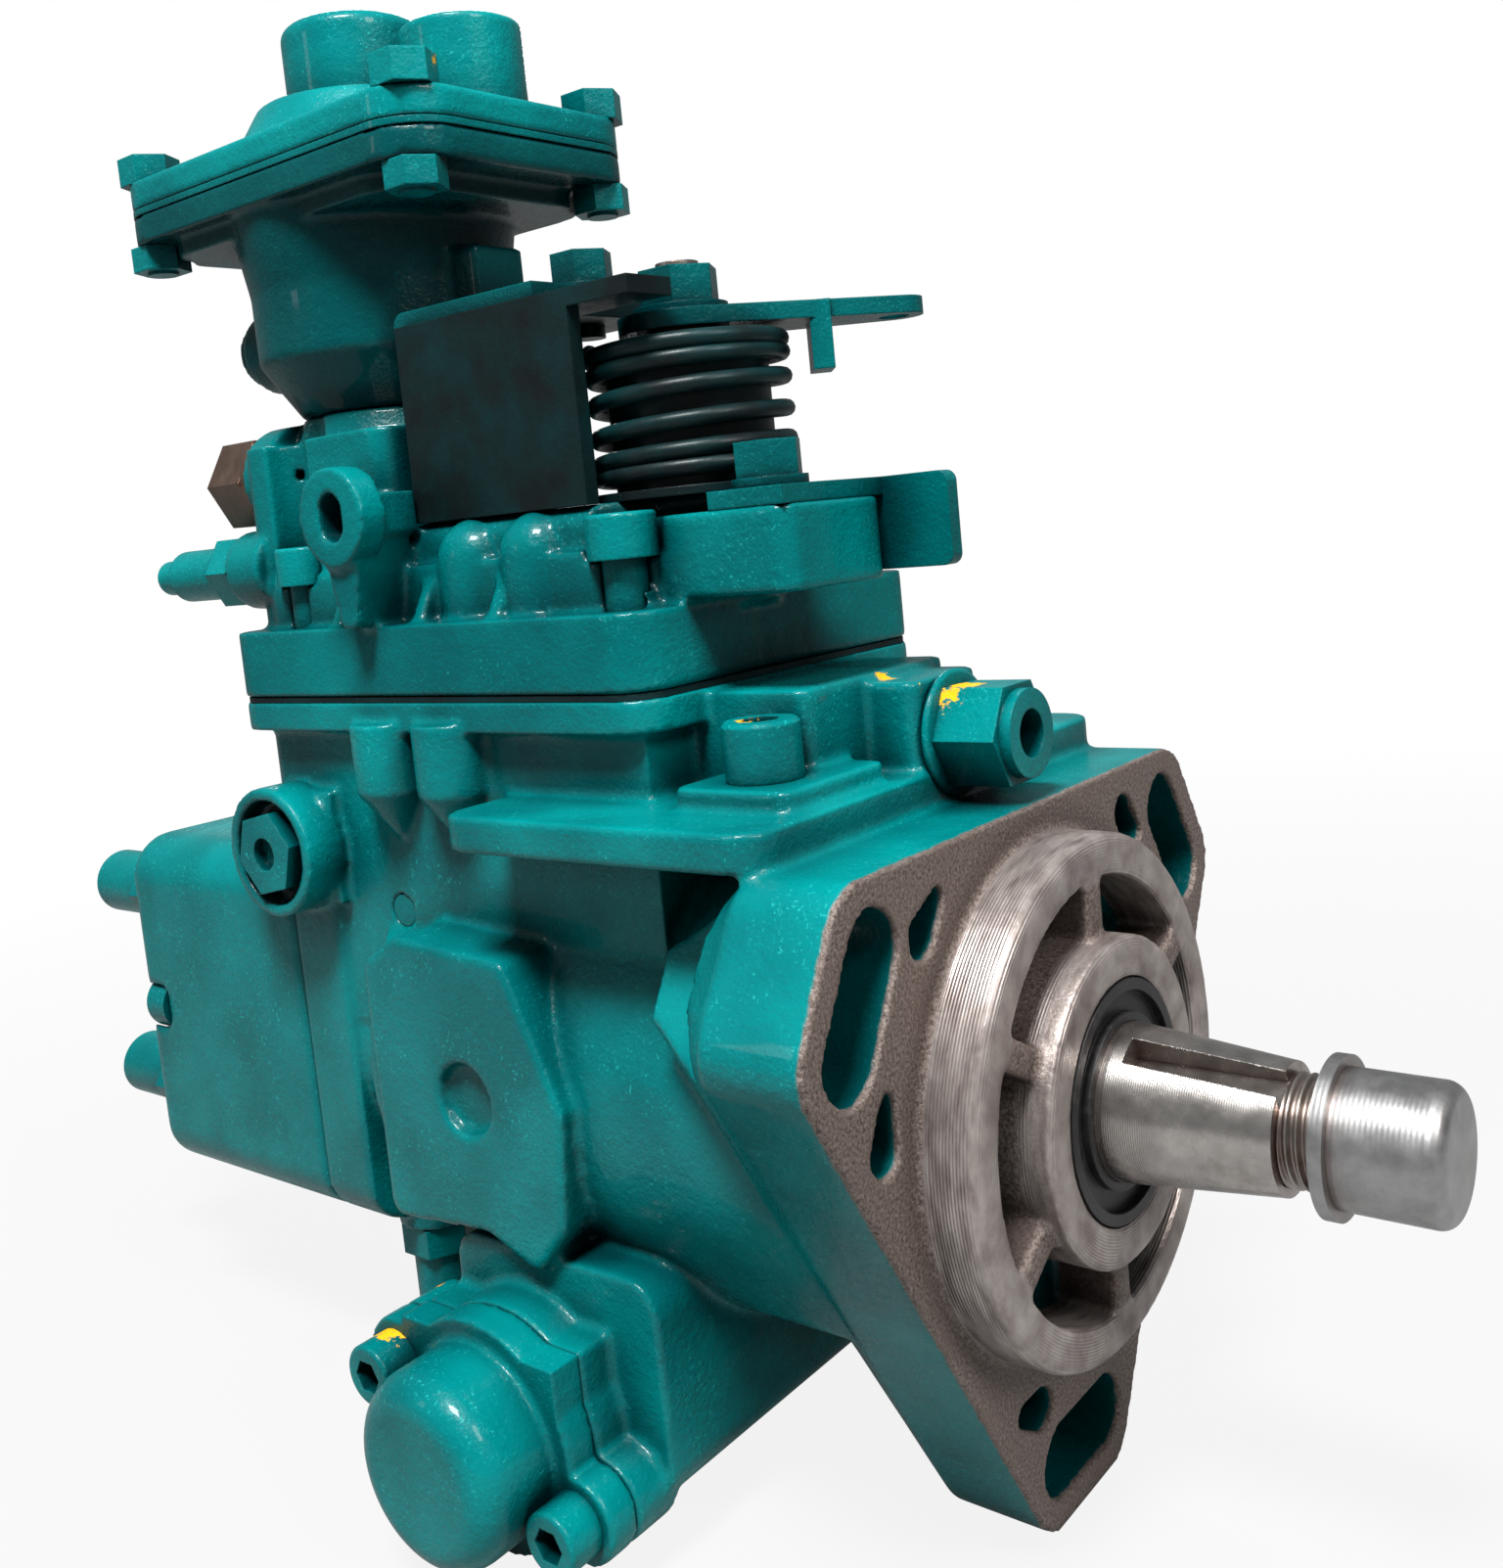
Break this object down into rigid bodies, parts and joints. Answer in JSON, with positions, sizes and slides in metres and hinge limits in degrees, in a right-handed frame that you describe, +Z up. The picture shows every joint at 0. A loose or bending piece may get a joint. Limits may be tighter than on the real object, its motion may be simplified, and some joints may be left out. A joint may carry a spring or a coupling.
{
  "type": "diesel injection pump",
  "caption": "Distributor fuel injection pump with mounting flange, drive shaft, governor cover, throttle lever and boost compensator.",
  "frame": {"origin": "centre of the pilot on the mounting face", "axes": "+X along the drive shaft towards the engine, +Z up"},
  "size_m": [0.2456, 0.122, 0.221],
  "materials": {
    "painted_casting": "glossy teal enamel",
    "bare_aluminium": "machined and cast",
    "steel": "turned",
    "dark_steel": "dark coated",
    "zinc_steel": "plated",
    "spring_steel": "drawn wire",
    "seal_rubber": "matt",
    "gasket": "pressed fibre"
  },
  "bodies": {
    "housing": {"pump_housing": "painted_casting", "shaft_seal": "seal_rubber", "feed_ring": "steel", "distributor_head": "painted_casting", "plunger_barrel": "steel", "head_plug": "painted_casting", "delivery_holders": "painted_casting", "head_bolts": "painted_casting", "timing_covers": "painted_casting", "timing_bolts": "painted_casting", "governor_shaft": "steel", "lever_pin": "steel", "governor_cover": "painted_casting", "cover_gasket": "gasket", "cover_bolts": "painted_casting", "throttle_bush": "dark_steel", "cable_bracket": "dark_steel", "bracket_bolts": "dark_steel", "bent_plate": "dark_steel", "tab_bracket": "dark_steel", "boost_housing": "painted_casting", "diaphragm": "gasket", "boost_cover": "painted_casting", "boost_bolts": "painted_casting", "boost_spring": "spring_steel", "rear_plug": "zinc_steel", "full_load_screw": "painted_casting", "inlet_fitting": "painted_casting", "regulating_valve": "painted_casting", "side_plug": "painted_casting", "return_valve": "zinc_steel", "plunger_springs": "spring_steel", "spring_bridge": "steel", "timing_spring": "spring_steel", "governor_spring": "spring_steel", "return_spring": "dark_steel"},
    "drive": {"drive_shaft": "steel", "shaft_cap": "bare_aluminium", "feed_rotor": "steel", "feed_vanes": "steel", "drive_gear": "steel", "cross_disc": "steel", "cam_plate": "steel", "plunger": "steel"},
    "governor": {"governor_cage": "steel"},
    "sleeve": {"governor_sleeve": "steel"},
    "lever": {"tension_lever": "steel"},
    "control": {"control_sleeve": "steel"},
    "piston": {"timing_piston": "bare_aluminium"},
    "ring": {"roller_ring": "steel", "rollers": "steel", "advance_pin": "steel"},
    "throttle": {"throttle_shaft": "steel", "throttle_lever": "dark_steel", "lever_nut": "dark_steel"},
    "boost": {"boost_pin": "steel"},
    "weight_1": {"flyweight_1": "steel"},
    "weight_2": {"flyweight_2": "steel"},
    "weight_3": {"flyweight_3": "steel"},
    "weight_4": {"flyweight_4": "steel"}
  },
  "joints": [
    {"name": "shaft_spin", "type": "hinge", "parent": "housing", "child": "drive", "pos_m": [0, 0, 0], "axis": [1, 0, 0], "continuous": true},
    {"name": "governor_spin", "type": "hinge", "parent": "housing", "child": "governor", "pos_m": [-0.05, 0, 0.045], "axis": [1, 0, 0], "continuous": true},
    {"name": "governor_travel", "type": "slide", "parent": "governor", "child": "sleeve", "axis": [-1, 0, 0], "range_m": [0, 0.0023]},
    {"name": "lever_swing", "type": "hinge", "parent": "housing", "child": "lever", "pos_m": [-0.0925, 0, 0.024], "axis": [0, -1, 0], "range_deg": [0, 6.4], "deforming": ["governor_spring"]},
    {"name": "control_travel", "type": "slide", "parent": "housing", "child": "control", "axis": [1, 0, 0], "range_m": [0, 0.0016]},
    {"name": "timing_advance", "type": "slide", "parent": "housing", "child": "piston", "axis": [0, 1, 0], "range_m": [0, 0.006], "stiffness_N_per_m": 900, "springref_m": -0.004, "deforming": ["timing_spring"]},
    {"name": "ring_turn", "type": "hinge", "parent": "housing", "child": "ring", "pos_m": [-0.0645, 0, 0], "axis": [1, 0, 0], "range_deg": [0, 8.3]},
    {"name": "throttle_turn", "type": "hinge", "parent": "housing", "child": "throttle", "pos_m": [-0.045, -0.007, 0.09], "axis": [0, 0, 1], "range_deg": [0, 45], "stiffness_Nm_per_rad": 0.1, "springref_deg": -34.38, "deforming": ["return_spring"]},
    {"name": "boost_travel", "type": "slide", "parent": "housing", "child": "boost", "axis": [0, 0, -1], "range_m": [0, 0.005], "stiffness_N_per_m": 600, "springref_m": -0.006, "deforming": ["boost_spring", "diaphragm"]},
    {"name": "weight_swing_1", "type": "hinge", "parent": "governor", "child": "weight_1", "pos_m": [-0.0545, 0, 0.0555], "axis": [0, 1, 0], "range_deg": [0, 23]},
    {"name": "weight_swing_2", "type": "hinge", "parent": "governor", "child": "weight_2", "pos_m": [-0.0545, -0.0105, 0.045], "axis": [0, 0, 1], "range_deg": [0, 23]},
    {"name": "weight_swing_3", "type": "hinge", "parent": "governor", "child": "weight_3", "pos_m": [-0.0545, 0, 0.0345], "axis": [0, -1, 0], "range_deg": [0, 23]},
    {"name": "weight_swing_4", "type": "hinge", "parent": "governor", "child": "weight_4", "pos_m": [-0.0545, 0.0105, 0.045], "axis": [0, 0, -1], "range_deg": [0, 23]}
  ],
  "couplings": [
    {"joint": "governor_spin", "follows": "shaft_spin", "ratio": -1.5},
    {"joint": "lever_swing", "follows": "governor_travel", "rad_per_m": 47.619},
    {"joint": "control_travel", "follows": "governor_travel", "ratio": 0.6667},
    {"joint": "ring_turn", "follows": "timing_advance", "rad_per_m": 23.809},
    {"joint": "weight_swing_1", "follows": "governor_travel", "rad_per_m": 172.41},
    {"joint": "weight_swing_2", "follows": "governor_travel", "rad_per_m": 172.41},
    {"joint": "weight_swing_3", "follows": "governor_travel", "rad_per_m": 172.41},
    {"joint": "weight_swing_4", "follows": "governor_travel", "rad_per_m": 172.41}
  ]
}
